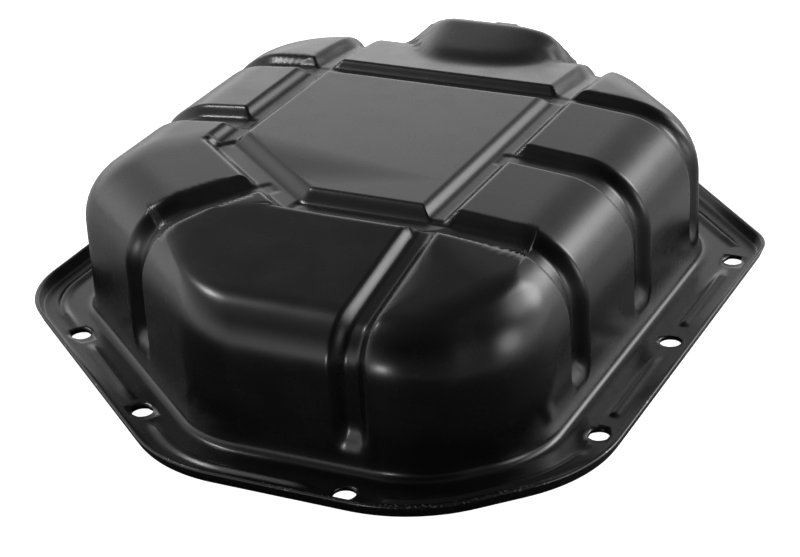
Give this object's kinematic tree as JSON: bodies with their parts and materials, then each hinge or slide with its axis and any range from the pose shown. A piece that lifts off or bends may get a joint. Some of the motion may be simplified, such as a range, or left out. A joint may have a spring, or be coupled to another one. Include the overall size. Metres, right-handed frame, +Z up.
{
  "type": "engine oil pan",
  "caption": "Pressed steel engine oil pan standing on its sealing flange, with grooved floor, upturned lip, bolt holes, drain ramp and screwed drain plug.",
  "frame": {"origin": "middle of the flange's overall length and width, on the sealing face", "axes": "+Z up from the sealing face to the pan's floor, which faces up; +Y towards the wall with the drain plug; +X across, so the long sloping corner is at -X -Y"},
  "size_m": [0.2212, 0.2514, 0.0624],
  "materials": {
    "black_paint": "satin black paint",
    "dark_steel": "painted steel",
    "soft_metal": "dull aluminium",
    "plug_steel": "dark plated steel"
  },
  "bodies": {
    "root": {"pan_shell": "black_paint", "drain_nut": "dark_steel", "drain_washer": "soft_metal", "drain_plug": "plug_steel"}
  },
  "joints": []
}
